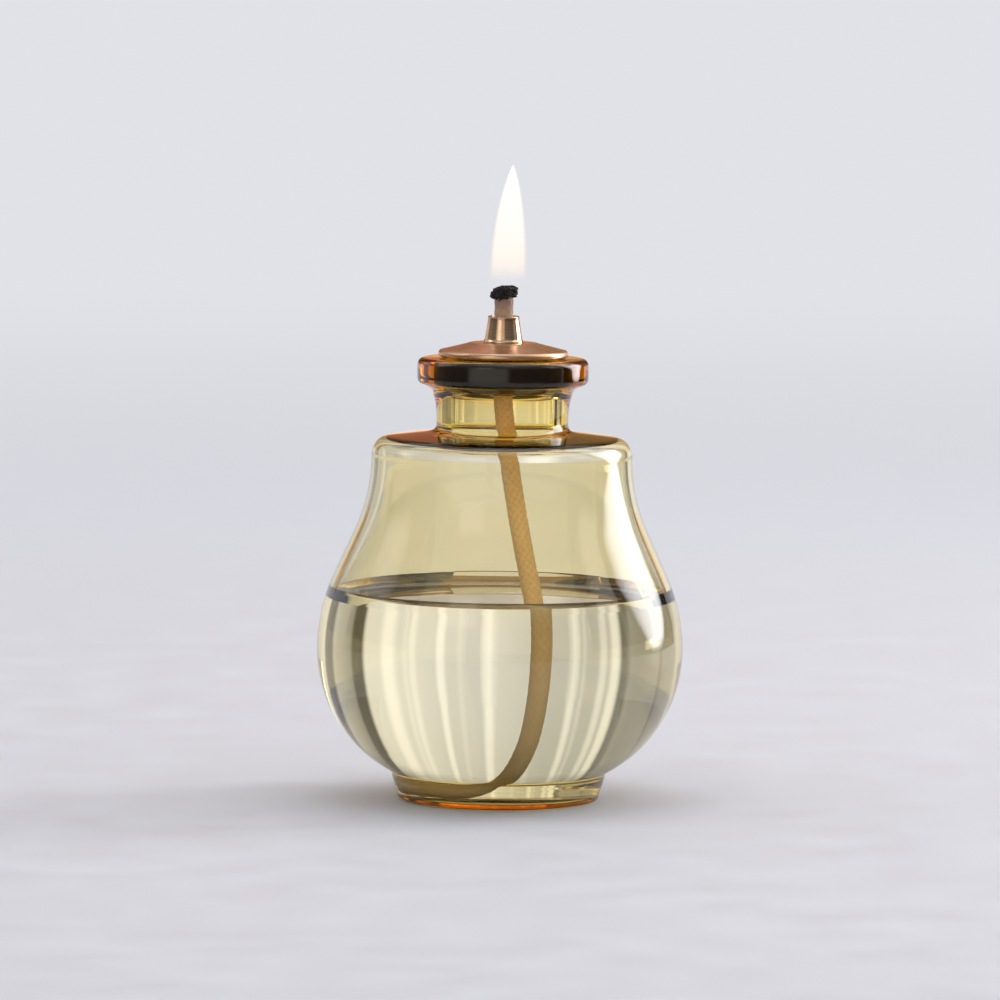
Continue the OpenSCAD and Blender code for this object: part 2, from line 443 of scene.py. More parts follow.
def lamp_oil():
    """Clear lamp oil with the faintest straw tint."""
    finish = Finish("lamp_oil")
    finish.set(Base_Color=(1, 1, 1, 1), Transmission_Weight=1, IOR=OIL_INDEX)
    finish.roughness(finish.spread(finish.noise(40, 2), 0, 0.002))
    finish.bump(finish.noise(30, 1), 0.01 * MM, 0.4)
    finish.absorb((0.9, 0.8, 0.2), 1.5)
    return finish.material


def black_rubber():
    finish = Finish("black_seal")
    grain = finish.noise(2600, 5)
    finish.colour(finish.mix(grain, (0.003, 0.0028, 0.003), (0.009, 0.008, 0.008)))
    finish.roughness(finish.spread(finish.noise(420, 4), 0.34, 0.55))
    finish.bump(grain, 0.006 * MM, 0.4)
    finish.set(Specular_IOR_Level=0.1)
    return finish.material


def brass(name, light, dark, rough, rough_worn, marks):
    """Turned brass: rings of turning marks that deep, cloudy tarnish and a slightly uneven polish."""
    finish = Finish(name)
    finish.set(Metallic=1, Anisotropic=0.35)
    cloud = finish.noise(260, 5)
    ring = finish.rings(5200)
    patina = finish.maths("MULTIPLY", finish.spread(cloud, 0, 1, 0.35, 0.75), 0.8)
    finish.colour(finish.mix(patina, light, dark))
    worn = finish.maths("ADD", finish.spread(cloud, rough, rough_worn), finish.spread(ring, -0.04, 0.05))
    finish.roughness(worn)
    finish.bump(ring, marks, 0.6)
    finish.bump(finish.noise(900, 4), marks * 0.6, 0.4)
    tangent = finish.tree.nodes.new("ShaderNodeTangent")
    tangent.direction_type = "RADIAL"
    tangent.axis = "Z"
    finish.link(tangent.outputs["Tangent"], finish.shader.inputs["Tangent"])
    return finish


def satin_brass():
    return brass("brass", (0.66, 0.43, 0.28), (0.46, 0.26, 0.15), 0.2, 0.34, 0.012 * MM).material


def polished_brass():
    """The nozzle's brass, polished, and browned by the heat towards its top."""
    finish = brass("polished_brass", (0.74, 0.53, 0.36), (0.56, 0.35, 0.21), 0.07, 0.15, 0.006 * MM)
    heat = finish.maths(
        "MULTIPLY",
        finish.height(NOZZLE_LOW.z + 2.6 * MM, NOZZLE_HIGH.z + 0.6 * MM),
        finish.spread(finish.noise(500, 4), 0.45, 1),
    )
    source = finish.shader.inputs["Base Color"].links[0].from_socket
    finish.colour(finish.mix(heat, source, (0.36, 0.2, 0.14)))
    return finish.material


def wick_braid():
    """Cotton braid wet through with oil: tan strands, with painted shade in the hollows between them and
    painted light that makes it paler towards the bottom.
    """
    finish = Finish("wick_braid")
    strand = finish.noise(1500, 6)
    clean = finish.mix(finish.spread(strand, 0, 1), (0.84, 0.55, 0.25), (0.94, 0.70, 0.40))
    # Painted shade: the braid's colour is darkened in the hollows between its strands.
    painted_hollow_shade = finish.spread(finish.attribute("relief"), 1, 0, 0.15, 0.7)
    braid_with_painted_shade = finish.mix(finish.maths("MULTIPLY", painted_hollow_shade, 0.4), clean, (0.62, 0.37, 0.16))
    # Painted light: the braid's colour grows paler towards the floor of the foot.
    braid_with_painted_light = finish.mix(finish.height(3 * MM, 60 * MM), (1.0, 0.74, 0.36), braid_with_painted_shade)
    scorched = finish.height(NOZZLE_HIGH.z - 5 * MM, TIP_LOW.z + 0.6 * MM)
    finish.colour(finish.mix(scorched, braid_with_painted_light, (0.24, 0.13, 0.085)))
    finish.roughness(finish.spread(strand, 0.5, 0.75))
    finish.bump(finish.noise(5200, 3, (1, 1, 0.25)), 0.05 * MM, 0.8)
    finish.set(Sheen_Weight=0.15, Subsurface_Weight=0.08, Subsurface_Scale=0.4 * MM)
    return finish.material


def charred_wick():
    finish = Finish("charred_wick")
    crumb = finish.noise(1900, 6)
    ashy = finish.spread(crumb, 0, 1, 0.4, 0.75)
    finish.colour(finish.mix(ashy, (0.004, 0.0035, 0.0035), (0.035, 0.024, 0.02)))
    finish.roughness(finish.spread(crumb, 0.55, 0.95))
    finish.bump(crumb, 0.25 * MM, 0.9)
    finish.set(Specular_IOR_Level=0.3)
    return finish.material


def flame_glow(name, colour, strength, opacity, fade_from, fade_to, tip):
    """Burning gas: light that thins out towards the wick and, on the outer shells, over
    that much of its tip."""
    finish = Finish(name)
    nodes = finish.tree.nodes
    nodes.remove(finish.shader)
    glow = nodes.new("ShaderNodeEmission")
    lick = finish.noise(160, 2, (1, 1, 0.3))
    low, high = colour
    up = finish.height(fade_from, FLAME_HIGH.z - 6 * MM)
    finish.link(finish.mix(up, low, high), glow.inputs["Color"])
    glow.inputs["Strength"].default_value = strength
    clear = nodes.new("ShaderNodeBsdfTransparent")
    blend = nodes.new("ShaderNodeMixShader")
    rise = finish.height(fade_from, fade_to)
    ripple = finish.spread(lick, 0.86, 1)
    cover = finish.maths("MULTIPLY", finish.maths("MULTIPLY", rise, ripple), opacity)
    if tip:
        towards_tip = finish.height(FLAME_HIGH.z - tip, FLAME_HIGH.z)
        cover = finish.maths("MULTIPLY", cover, finish.spread(towards_tip, 1, 0, 0, 1))
    finish.link(cover, blend.inputs["Fac"])
    finish.link(clear.outputs["BSDF"], blend.inputs[1])
    finish.link(glow.outputs["Emission"], blend.inputs[2])
    finish.link(blend.outputs["Shader"], finish.output.inputs["Surface"])
    return finish.material


STUDIO_COLOUR = (0.755, 0.762, 0.805)
FLOOR_FADE_FROM = 0.3
FLOOR_FADE_TO = 1.7


def studio_floor():
    """Pale matt floor that fades into the studio's own light far from the lamp."""
    finish = Finish("floor")
    grain = finish.noise(60, 5)
    finish.colour(finish.mix(grain, (0.70, 0.70, 0.725), (0.76, 0.76, 0.785)))
    finish.roughness(finish.spread(grain, 0.5, 0.7))
    finish.set(Specular_IOR_Level=0.25)
    length = finish.tree.nodes.new("ShaderNodeVectorMath")
    length.operation = "LENGTH"
    finish.link(finish.place, length.inputs[0])
    far = finish.spread(length.outputs["Value"], 0, 1, FLOOR_FADE_FROM, FLOOR_FADE_TO, smooth=True)
    glow = finish.tree.nodes.new("ShaderNodeEmission")
    glow.inputs["Color"].default_value = (*STUDIO_COLOUR, 1)
    glow.inputs["Strength"].default_value = 1
    blend = finish.tree.nodes.new("ShaderNodeMixShader")
    finish.link(far, blend.inputs["Fac"])
    finish.link(finish.shader.outputs["BSDF"], blend.inputs[1])
    finish.link(glow.outputs["Emission"], blend.inputs[2])
    finish.link(blend.outputs["Shader"], finish.output.inputs["Surface"])
    return finish.material


# ---------------------------------------------------------------- bottle and oil

WAVE_DEPTH = 0.035 * MM
DRIFT_DEPTH = 0.03 * MM
PUNT = 0.8 * MM
PUNT_REACH = 18 * MM
# How far below the seal the throat's slope ends in the CAD and on the visual bottle
CAD_THROAT = 2 * MM
THROAT = 0.5 * MM


def hand_blown(radius, angle, height):
    """The slight unevenness of blown glass, round and up the wall."""
    wave = math.sin(2 * angle + 0.7 + 30 * height)
    wave += 0.6 * math.sin(3 * angle + 2.1 - 45 * height)
    reach = min(radius / (20 * MM), 1)
    around = Vector((math.cos(angle), math.sin(angle), 0)) * 2.2
    drift = noise.noise(around + Vector((0, 0, height * 70)))
    return radius + reach * (WAVE_DEPTH * wave + DRIFT_DEPTH * drift), height


def raised_floor(radius):
    """How far the middle of the bottle's floor is pushed up."""
    share = min(radius / PUNT_REACH, 1)
    return PUNT * (1 - share * share * (3 - 2 * share))


def bottle_outline():
    """The bottle's section from the middle of its underside round to the middle of its floor."""
    outline = cad_outline("bottle")
    for point in outline:
        below_seal = SEAL_LOW.z - point.y
        if abs(below_seal - CAD_THROAT) < MM and point.x < SEAL_HIGH.x + 2 * MM:
            point.y = SEAL_LOW.z - THROAT

    def inwards(end, steps=24):
        radii = [end.x * k / steps for k in range(steps)]
        return [Vector((radius, end.y + raised_floor(radius))) for radius in radii]

    curve = smooth_outline([p for p in outline if p.x > MM])
    return inwards(outline[0]) + curve + inwards(outline[-1])[::-1]


def inner_wall(outline):
    """The inside of the bottle's section, upwards from the middle of its floor."""
    top = max(range(len(outline)), key=lambda k: outline[k].y)
    return list(reversed(outline[top:]))


def add_bottle(outline, glass):
    points, faces = lathe(outline, 256, shape=hand_blown)
    bottle = mesh_piece("bottle_glass", points, faces, glass)
    return settle(bottle, "bottle", "amber_glass", "bottle")


OIL_OVERLAP = 0.35 * MM
OIL_SEGMENTS = 192
SURFACE_RINGS = 90
SURFACE_CROWDING = 0.55
MENISCUS_RISE = 2.3 * MM
MENISCUS_REACH = 1.7 * MM
WICK_MENISCUS_RISE = 0.8 * MM
WICK_MENISCUS_REACH = 0.8 * MM


def oil_level():
    """Height of the oil's flat surface: the highest CAD point of the oil well away from the glass."""
    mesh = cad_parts["oil"].data
    reach = 0.7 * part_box("oil")[1].x
    return max(v.co.z for v in mesh.vertices if math.hypot(v.co.x, v.co.y) < reach)


def oil_surface_height(x, y, wall_radius, level):
    """Height of the oil's surface, which climbs the glass and the wick."""
    gap = max(wall_radius - math.hypot(x, y), 0)
    up_glass = MENISCUS_RISE * math.exp(-gap / MENISCUS_REACH)
    beside = max((Vector((x, y)) - wick_at(level)).length - WICK_RADIUS, 0)
    up_wick = WICK_MENISCUS_RISE * math.exp(-beside / WICK_MENISCUS_REACH)
    return level + up_glass + up_wick


def wick_at(level):
    """Where the wick's route crosses a height on its way down."""
    for above, below in zip(WICK_ROUTE, WICK_ROUTE[1:]):
        if above.z >= level >= below.z:
            share = (above.z - level) / (above.z - below.z)
            return above.lerp(below, share).xy
    return WICK_ROUTE[0].xy


def pushed_out(wall, distance):
    """The wall's section moved into the glass by a distance, so that the oil looks wet on it."""
    pushed = []
    for k, point in enumerate(wall):
        along = wall[min(k + 1, len(wall) - 1)] - wall[max(k - 1, 0)]
        moved = point + Vector((along.y, -along.x)).normalized() * distance
        pushed.append(Vector((max(moved.x, 0), moved.y)))
    pushed[0].x = 0
    return pushed


def add_oil(outline, oil):
    """The oil's body, with its surface climbing the glass and the wick, and its bubbles."""
    level = oil_level()
    wall = [p for p in inner_wall(outline) if p.y < level + MENISCUS_RISE]
    wall_radius = wall[-1].x
    side = pushed_out(wall, OIL_OVERLAP)
    shares = [(1 - k / SURFACE_RINGS) ** SURFACE_CROWDING for k in range(1, SURFACE_RINGS + 1)]
    top = [Vector((side[-1].x * share, level)) for share in shares]

    def surface(radius, angle, height):
        radius, height = hand_blown(radius, angle, height)
        if radius < wall_radius + 0.1 * MM:
            x, y = radius * math.cos(angle), radius * math.sin(angle)
            height = oil_surface_height(x, y, wall_radius, level)
        return radius, height

    side_points, _ = lathe(side, OIL_SEGMENTS, shape=hand_blown)
    top_points, _ = lathe(top, OIL_SEGMENTS, shape=surface)
    _, faces = lathe(side + top, OIL_SEGMENTS)
    points = side_points + top_points
    add_bubbles(points, faces, level)
    body = mesh_piece("oil_body", points, faces, oil, sharp=60)
    return settle(body, "bottle", "lamp_oil", "oil")


def add_bubbles(points, faces, level):
    """A few tiny air bubbles in the oil, just under its surface round the wick."""
    draw = random.Random(7)
    crossing = wick_at(level)
    for _ in range(9):
        angle = draw.uniform(0, TAU)
        away = WICK_RADIUS + draw.uniform(0.7, 4.5) * MM
        radius = draw.uniform(0.16, 0.34) * MM
        centre = Vector((crossing.x + away * math.cos(angle), crossing.y + away * math.sin(angle),
                         level - radius - draw.uniform(0.05, 0.6) * MM))
        ball = bmesh.new()
        bmesh.ops.create_icosphere(ball, subdivisions=3, radius=radius)
        start = len(points)
        points += [v.co + centre for v in ball.verts]
        faces += [tuple(start + v.index for v in reversed(f.verts)) for f in ball.faces]
        ball.free()


# ---------------------------------------------------------------- wick, char and flame

BRAID_STRANDS = 8
BRAID_PITCH = 7.5 * MM
BRAID_DEPTH = 0.1 * MM


def braid_relief(along, angle):
    """Height of a round braid's surface, from 0 in its hollows to 1 on its strands."""
    turns = along / BRAID_PITCH * BRAID_STRANDS / 2
    around = angle / TAU * BRAID_STRANDS
    one, two = around + turns, around - turns
    cell = math.floor(one) + math.floor(two)
    across, lengthwise = one % 1, two % 1
    if cell % 2:
        across, lengthwise = lengthwise, across
    crown = 1 - abs(2 * across - 1) ** 2.5
    arch = math.sin(math.pi * lengthwise)
    return max(crown, 0) ** 0.6 * (0.35 + 0.65 * arch)


def braided(name, path, around, material):
    """A braided tube along a path, with the height of its strands kept as an attribute."""
    relief = []

    def radius_at(along, angle):
        height = braid_relief(along, angle)
        relief.append(height)
        loose = 0.05 * MM * noise.noise(Vector((along * 300, math.cos(angle), math.sin(angle))))
        return WICK_RADIUS - BRAID_DEPTH * (1 - height) + loose

    points, faces = sweep(path, around, radius_at)
    piece = mesh_piece(name, points, faces, material, sharp=180)
    layer = piece.data.attributes.new("relief", "FLOAT", "POINT")
    layer.data.foreach_set("value", relief + [0.5, 0.5])
    return piece


def add_wick_tail(braid):
    """The wick below its tube, hanging down into the oil; it rides on no body."""
    start = Vector((0, 0, TUBE_LOW.z))
    route = [start] + [p for p in WICK_ROUTE if p.z < start.z - MM]
    path = smooth_run(route, 0.25 * MM)
    tail = braided("wick_tail", path, 56, braid)
    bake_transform(tail)
    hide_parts("wick")
    return tail


def add_wick_top(braid):
    """The wick in its tube and above the nozzle."""
    low, high = TUBE_LOW.z + 0.1 * MM, TIP_LOW.z + 0.9 * MM
    path = smooth_run([Vector((0, 0, low)), Vector((0, 0, high))], 0.12 * MM)
    top = braided("wick_top", path, 72, braid)
    return settle(top, "wick", "wick_braid")


CHAR_TILT = 0.26


def add_char(char):
    """The burnt end: a knobbly, grooved crust, higher to the right."""
    centre = Vector((0, 0, (TIP_LOW.z + TIP_HIGH.z) / 2))
    wide = TIP_HIGH.x - 0.1 * MM
    tall = (TIP_HIGH.z - TIP_LOW.z) / 2 + 0.1 * MM
    ball = bmesh.new()
    bmesh.ops.create_icosphere(ball, subdivisions=6, radius=1)
    for vertex in ball.verts:
        way = vertex.co.copy()
        lump = noise.noise(way * 2.3 + Vector((3.1, 0.4, 1.7)))
        crumb = noise.noise(way * 7.5)
        grit = noise.noise(way * 19)
        grow = 1 + 0.16 * lump + 0.10 * crumb + 0.04 * grit
        groove = 0.05 * math.sin(9 * math.atan2(way.y, way.x) + 3 * lump)
        across = wide * (grow + groove)
        flat = math.copysign(abs(way.z) ** 0.8, way.z)
        upright = flat * (1 + 0.2 * lump + 0.16 * crumb) + CHAR_TILT * way.x
        vertex.co = Vector((way.x * across, way.y * across, upright * tall)) + centre
    points = [v.co.copy() for v in ball.verts]
    faces = [tuple(v.index for v in f.verts) for f in ball.faces]
    ball.free()
    nub = mesh_piece("charred_end", points, faces, char, sharp=180)
    return settle(nub, "wick", "charred_wick", "wick_tip")


FLAME_WIDTH = 0.98
FLAME_FOOT = 0.1
FLAME_SHIFT = 0.7 * MM
FLAME_LEAN = 0.8 * MM


def flame_shell(name, grow, material):
    """The flame's outline, grown by that much: widest near its foot, and drawn out to a point."""
    base = FLAME_LOW.z
    tall = FLAME_HIGH.z - base
    widest = FLAME_WIDTH * (FLAME_HIGH.y - FLAME_LOW.y) / 2 + grow
    steps = 90
    outline = [Vector((0, base))]
    for k in range(steps):
        up = math.sin(0.5 * math.pi * k / steps)
        under = max(1 - up / FLAME_FOOT, 0)
        radius = widest * (1 - up * up) ** 0.75 * math.sqrt(1 - 0.85 * under * under)
        outline.append(Vector((radius, base + up * tall)))
    outline.append(Vector((0, FLAME_HIGH.z)))
    points, faces = lathe(outline, 72)
    for point in points:
        up = (point.z - base) / tall
        point.x += FLAME_SHIFT + FLAME_LEAN * up ** 1.4
    return settle(mesh_piece(name, points, faces, material, sharp=180), "wick", "flame")


def add_flame():
    """Three nested shells: a solid core and two fainter veils round it."""
    base = FLAME_LOW.z
    warm, white, whitest = (1, 0.87, 0.78), (1, 0.97, 0.9), (1, 1, 0.97)
    core = flame_glow("flame_core", (warm, whitest), 1.15, 1, base + 0.8 * MM, base + 9.5 * MM, 0)
    veil = flame_glow("flame_veil", (warm, white), 1.02, 0.55, base, base + 9 * MM, 5 * MM)
    halo = flame_glow("flame_halo", (warm, white), 1.0, 0.3, base, base + 10 * MM, 8 * MM)
    body = flame_shell("flame_body", -0.5 * MM, core)
    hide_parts("flame")
    flame_shell("flame_inner_veil", -0.2 * MM, veil)
    flame_shell("flame_outer_veil", 0.1 * MM, halo)


# ---------------------------------------------------------------- burner


def rounded(points, radius, steps=5):
    """A closed outline with each corner rounded by up to that radius."""
    curve = []
    count = len(points)
    for k, here in enumerate(points):
        before, after = points[k - 1], points[(k + 1) % count]
        reach = min(radius, (before - here).length * 0.45, (after - here).length * 0.45)
        start = here + (before - here).normalized() * reach
        end = here + (after - here).normalized() * reach
        for i in range(steps + 1):
            t = i / steps
            curve.append(start.lerp(here, t).lerp(here.lerp(end, t), t))
    return curve


def dense(points, step):
    """A closed outline with extra points, so that none are further apart than the step."""
    curve = []
    for a, b in zip(points, points[1:] + points[:1]):
        count = max(1, math.ceil((b - a).length / step))
        curve += [a.lerp(b, i / count) for i in range(count)]
    return curve


def section(*points):
    return [Vector((r, z)) for r, z in points]


BORE_GAP = 0.02 * MM
BORE = TUBE_HIGH.x + BORE_GAP


def add_seal(rubber):
    """The black seal, bulging a little where it presses on the glass."""
    hole, mouth = TUBE_HIGH.x, BOTTLE_MOUTH
    pressed = mouth + 0.08 * MM
    low, high = SEAL_LOW.z, SEAL_HIGH.z
    hollow_r, hollow_z = WASHER_HIGH.x + 0.6 * MM, WASHER_HIGH.z
    outline = section(
        (hole, hollow_z), (hollow_r, hollow_z), (hollow_r, low),
        (mouth - 0.15 * MM, low), (pressed, low + 1.2 * MM), (pressed, high - 0.6 * MM),
        (mouth - 0.3 * MM, high), (hole, high),
    )
    points, faces = lathe(dense(rounded(outline, 0.3 * MM), 0.4 * MM), 128, closed=True)
    seal = mesh_piece("seal_plug", points, faces, rubber)
    return settle(seal, "stopper", "black_seal", "stopper_seal")


def add_plate(metal):
    """The cap plate: an upright rim with a rounded edge, a shallow cone and a raised flat."""
    rim_r, flat_r = PLATE_HIGH.x, 6.6 * MM
    low, high = PLATE_LOW.z, PLATE_HIGH.z
    rim_z = high - 1.6 * MM
    outline = section(
        (BORE, low), (rim_r - 0.7 * MM, low), (rim_r, low + 0.25 * MM),
        (rim_r, rim_z - 0.35 * MM), (rim_r - 0.35 * MM, rim_z + 0.1 * MM),
        (rim_r - 1.0 * MM, rim_z + 0.2 * MM), (flat_r + 0.5 * MM, high - 0.18 * MM),
        (flat_r, high), (BORE, high),
    )
    points, faces = lathe(dense(rounded(outline, 0.28 * MM), 0.35 * MM), 192, closed=True)
    plate = mesh_piece("plate_brass", points, faces, metal)
    return settle(plate, "burner", "brass", "cap_plate")


def add_nozzle(metal):
    """The nozzle: a soft fillet at its foot, a gentle taper and a rolled lip."""
    low, high = NOZZLE_LOW.z, NOZZLE_HIGH.z
    foot_r = NOZZLE_HIGH.x
    top_r = foot_r - 0.9 * MM
    outline = section(
        (BORE, low), (foot_r, low), (foot_r, low + 0.3 * MM),
        (foot_r - 0.18 * MM, low + 0.55 * MM), (top_r + 0.02 * MM, high - 0.55 * MM),
        (top_r + 0.05 * MM, high - 0.2 * MM), (top_r - 0.15 * MM, high),
        (BORE, high - 0.05 * MM),
    )
    points, faces = lathe(dense(rounded(outline, 0.16 * MM), 0.2 * MM), 160, closed=True)
    nozzle = mesh_piece("nozzle_brass", points, faces, metal)
    return settle(nozzle, "burner", "polished_brass", "nozzle")


def add_tube(metal):
    """The wick tube, with a rolled thread at its lower end for the lock nut."""
    inner, outer = TUBE_HIGH.x - 0.35 * MM, TUBE_HIGH.x
    low, high = TUBE_LOW.z, TUBE_HIGH.z
    pitch, depth, turns_to = 0.5 * MM, 0.12 * MM, WASHER_HIGH.z

    def thread(radius, angle, height):
        if radius > outer - 1e-6 and low + 0.2 * MM < height < turns_to:
            phase = (height / pitch + angle / TAU) % 1
            radius -= depth * abs(2 * phase - 1)
        return radius, height

    steps = 130
    side = [Vector((outer, low + (high - low) * k / steps)) for k in range(steps + 1)]
    outline = [Vector((inner, low)), *side, Vector((inner, high))]
    points, faces = lathe(outline, 72, closed=True, shape=thread)
    tube = mesh_piece("tube_brass", points, faces, metal)
    return settle(tube, "burner", "brass", "wick_tube")


def add_washer(metal):
    """The flat washer that holds the seal up on its tube."""
    outer = WASHER_HIGH.x
    low, high = WASHER_LOW.z, WASHER_HIGH.z
    outline = section((BORE, low), (outer, low), (outer, high), (BORE, high))
    points, faces = lathe(dense(rounded(outline, 0.12 * MM), 0.3 * MM), 96, closed=True)
    washer = mesh_piece("washer_brass", points, faces, metal)
    return settle(washer, "burner", "brass", "clamp_washer")


def add_nut(metal):
    """A hexagon nut with chamfered corners."""
    corner = max(NUT_HIGH.x, NUT_HIGH.y)
    flat = corner * math.cos(math.pi / 6)
    low, high = NUT_LOW.z, NUT_HIGH.z
    chamfer = 0.35 * MM
    inside = BORE + 0.5 * MM

    def hexagon(radius, angle, height):
        if radius > inside - 0.1 * MM:
            turn = (angle + math.pi / 6) % (math.pi / 3) - math.pi / 6
            face = flat / math.cos(turn - math.copysign(math.pi / 6, turn))
            radius = min(radius, face)
        return radius, height

    outline = section(
        (BORE, low), (inside, low), (flat, low), (corner, low + chamfer),
        (corner, high - chamfer), (flat, high), (inside, high), (BORE, high),
    )
    points, faces = lathe(outline, 144, closed=True, shape=hexagon)
    nut = mesh_piece("nut_brass", points, faces, metal, sharp=25)
    return settle(nut, "burner", "brass", "lock_nut")


# ---------------------------------------------------------------- studio

FLOOR_RADIUS = 9
FLOOR_RINGS = 60


def add_floor():
    outline = [Vector((FLOOR_RADIUS * (1 - k / FLOOR_RINGS), 0)) for k in range(FLOOR_RINGS + 1)]
    points, faces = lathe(outline, 96)
    floor = mesh_piece("floor", points, faces, studio_floor())


def softbox(name, at, towards, size, power):
    """A soft rectangular light that the camera itself doesn't see."""
    data = bpy.data.lights.new(name, "AREA")
    data.shape = "RECTANGLE"
    data.size, data.size_y = size
    data.energy = power
    light = bpy.data.objects.new(name, data)
    SCENE.collection.objects.link(light)
    light.location = at
    aim = Vector(towards) - Vector(at)
    light.rotation_euler = aim.to_track_quat("-Z", "Y").to_euler()
    light.visible_camera = False
    return light


def card_material():
    """Light by each point's own colour, kept as an attribute."""
    finish = Finish("studio_card")
    finish.tree.nodes.remove(finish.shader)
    source = finish.tree.nodes.new("ShaderNodeAttribute")
    source.attribute_name = "glow"
    glow = finish.tree.nodes.new("ShaderNodeEmission")
    finish.link(source.outputs["Color"], glow.inputs["Color"])
    finish.link(glow.outputs["Emission"], finish.output.inputs["Surface"])
    return finish.material


def staged_card(name, points, faces, colours, shader, through, mirrored):
    """A card that the camera doesn't see: only light through the glass, reflections or both do."""
    piece = mesh_piece(name, points, faces, shader, sharp=180)
    layer = piece.data.attributes.new("glow", "FLOAT_COLOR", "POINT")
    layer.data.foreach_set("color", colours)
    piece.visible_camera = False
    piece.visible_diffuse = False
    piece.visible_shadow = False
    piece.visible_transmission = through
    piece.visible_glossy = mirrored


def grid_faces(columns, rows):
    faces = []
    for row in range(rows):
        for column in range(columns):
            k = row * (columns + 1) + column
            faces.append((k, k + 1, k + columns + 2, k + columns + 1))
    return faces


def spaced(first, last, count):
    """The ends of a stretch and the points between them that divide it into that many parts."""
    return [first + (last - first) * k / count for k in range(count + 1)]


def round_axis(radius, azimuth, height):
    """The point at that radius, azimuth in degrees and height."""
    angle = math.radians(azimuth)
    return Vector((radius * math.sin(angle), radius * math.cos(angle), height))


def curved_card(name, radius, azimuths, heights, glow, shader, through=False, mirrored=False):
    """An upright card that curves round the lamp, between two azimuths in degrees and two
    heights. Azimuth 0 is straight behind it, and glow gives the light at a place."""
    columns, rows = 300, 48
    points, colours = [], []
    for height in spaced(*heights, rows):
        for azimuth in spaced(*azimuths, columns):
            points.append(round_axis(radius, azimuth, height))
            colours += [*glow(azimuth, height), 1]
    staged_card(name, points, grid_faces(columns, rows), colours, shader, through, mirrored)


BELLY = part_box("bottle")[1].x


def seen_at(azimuth, radius):
    """Where across the oil-filled belly, from -1 to 1, a card at that azimuth is seen. The
    belly works as a lens, which turns the picture over."""
    shares = [k / 100 for k in range(100)]
    bends = []
    for share in shares:
        turned = 2 * (math.asin(share) - math.asin(share / OIL_INDEX))
        bends.append(math.degrees(turned - math.asin(share * BELLY / radius)))
    return -math.copysign(float(np.interp(abs(azimuth), bends, shares)), azimuth)


# Pale pleats: each one's middle across the belly, its half width and how far it stands out
PLEATS = [
    (-0.585, 0.04, 0.7), (-0.49, 0.014, 0.3), (-0.45, 0.02, 0.45), (-0.3, 0.02, 0.9),
    (-0.2, 0.015, 0.25), (-0.055, 0.028, 0.9), (0.19, 0.02, 0.3), (0.39, 0.022, 1),
    (0.44, 0.014, 0.4), (0.545, 0.022, 0.8), (0.61, 0.026, 1.1)]
# The light between the pleats, across the belly: a pale edge, a dark fold, a dimmer panel and
# another dark fold on the left, then the paler middle, and the same in dimmer light on the right
DRAPE = [
    (-1, 0.9), (-0.955, 0.9), (-0.945, 0.03), (-0.91, 0.04),
    (-0.895, 0.5), (-0.87, 0.42), (-0.84, 0.36), (-0.8, 0.26), (-0.785, 0.03), (-0.735, 0.04),
    (-0.715, 0.8), (-0.6, 0.78), (-0.45, 0.76), (-0.3, 0.66), (0, 0.64),
    (0.12, 0.58), (0.3, 0.48), (0.5, 0.46), (0.635, 0.5), (0.65, 0.1), (0.68, 0.14),
    (0.7, 0.3), (0.74, 0.26), (0.86, 0.26), (0.87, 0.12), (0.885, 0.24),
    (0.95, 0.3), (0.97, 0.8), (1, 0.9)]
PLEAT_LIGHT = 0.34
DRAPE_LIGHT = (1.1074, 1.1865, 1.7628)
DRAPE_AZIMUTHS = (-64, 64)


def drapery(share):
    """The light of the pleated curtain behind the lamp, where it is seen across the belly."""
    level = float(np.interp(share, *zip(*DRAPE)))
    for middle, half, stands_out in PLEATS:
        level += PLEAT_LIGHT * stands_out * math.exp(-((share - middle) / half) ** 4)
    return level


def draped_card(name, radius, heights, shader, shade=lambda height: 1):
    """A card behind the lamp that the oil's lens shows as the curtain. It is bluish because
    the glass is yellow."""
    seen = {}

    def glow(azimuth, height):
        if azimuth not in seen:
            seen[azimuth] = drapery(seen_at(azimuth, radius))
        level = seen[azimuth] * shade(height)
        return [level * share for share in DRAPE_LIGHT]

    curved_card(name, radius, DRAPE_AZIMUTHS, heights, glow, shader, through=True)


def dim_above(height):
    """How much of the curtain's light is left at a height."""
    return float(np.interp(height, (0.3, 0.42), (1, 0.3)))


def patch(value, middle, half, hardness):
    """How far a value lies inside a patch of light: 1 in its middle and 0 from its edge on."""
    return max(0, 1 - (abs(value - middle) / half) ** hardness)


WINDOW_MIDDLE = 65
WINDOW_HALF = ((0, 4), (0.05, 11), (0.15, 18), (0.35, 22), (1.1, 23))
WINDOW_GLOW = ((0, 0), (0.04, 8), (0.3, 9), (0.5, 4), (1.1, 2.5))


def window_light(azimuth, height):
    """A tall window to the right, narrower and darker towards its sill, with soft edges."""
    half = float(np.interp(height, *zip(*WINDOW_HALF)))
    level = float(np.interp(height, *zip(*WINDOW_GLOW)))
    level *= patch(azimuth, WINDOW_MIDDLE, half, 4)
    return level, level, 1.04 * level


def warm_dusk(azimuth, height):
    """A warm, dark wall behind, uneven round its curve, which the top of the shoulder and the
    plate mirror."""
    angle = math.radians(azimuth)
    level = float(np.interp(height, (0.1, 0.13, 0.42, 0.5), (0.9, 0.36, 0.3, 0.7)))
    level *= 1 + 0.45 * math.cos(11 * angle) + 0.35 * math.cos(27 * angle + math.radians(40))
    redness = 0.5 + 0.5 * math.cos(19 * angle + math.radians(60))
    return 1.1 * level, (0.6 - 0.2 * redness) * level, 0.2 * level


def dark_side(_azimuth, _height):
    """A brown wall to either side, which draws the edges of the glass."""
    return 0.16, 0.10, 0.06


# Light of the walls in front by azimuth: 180 is the camera's side, and more is further left
FRONT_WALLS = (
    (92, 0.9), (97, 0.12), (170, 0.12), (178, 0.85),
    (222, 0.95), (230, 0.16), (285, 0.2), (300, 0.7))
UPPER_WALL = 0.45


